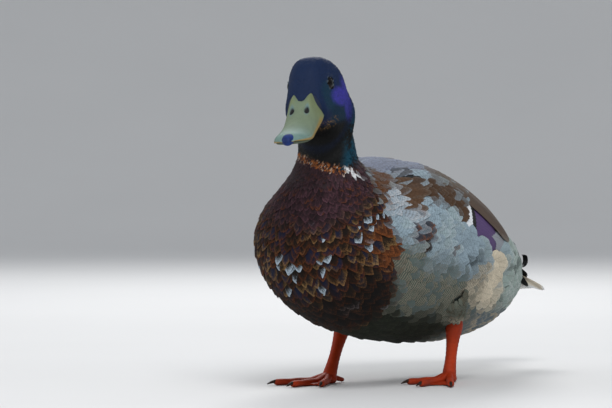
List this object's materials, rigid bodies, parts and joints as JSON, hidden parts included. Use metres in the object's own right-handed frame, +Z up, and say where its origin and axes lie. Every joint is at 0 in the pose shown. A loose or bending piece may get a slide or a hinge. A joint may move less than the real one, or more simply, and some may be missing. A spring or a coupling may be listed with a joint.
{
  "type": "mallard drake museum model",
  "caption": "Life-size standing male mallard duck with folded wings, webbed feet on the floor and the head turned to its left.",
  "frame": {"origin": "middle of the bounding box, on the floor the bird stands on", "axes": "+Z up, +X towards the bird's left side, -Y towards its breast"},
  "size_m": [0.1244, 0.404, 0.2236],
  "materials": {
    "head_feathers": "glossy dark blue and violet feathers",
    "body_feathers": "soft overlapping feathers, mottled breast, fine grey flanks",
    "wing_feathers": "brown and grey vanes with a violet-blue patch edged in white and black",
    "tail_feathers": "pale buff vanes",
    "black_feathers": "black feathers with a green gloss",
    "bill": "smooth, faintly waxy, yellow-green",
    "bill_nail": "smooth horn, mottled dark blue",
    "eye": "wet, clear, dark brown",
    "leg_skin": "small smooth scales, orange-red"
  },
  "bodies": {
    "root": {"head": "head_feathers", "neck": "head_feathers", "trunk": "body_feathers", "rump": "black_feathers", "tail": "tail_feathers", "bill_upper": "bill", "bill_lower": "bill", "bill_nail": "bill_nail", "left_eye": "eye", "right_eye": "eye", "left_wing": "wing_feathers", "right_wing": "wing_feathers", "left_curl": "black_feathers", "right_curl": "black_feathers", "left_thigh": "body_feathers", "right_thigh": "body_feathers", "left_shank": "leg_skin", "right_shank": "leg_skin", "left_foot": "leg_skin", "right_foot": "leg_skin"}
  },
  "joints": []
}
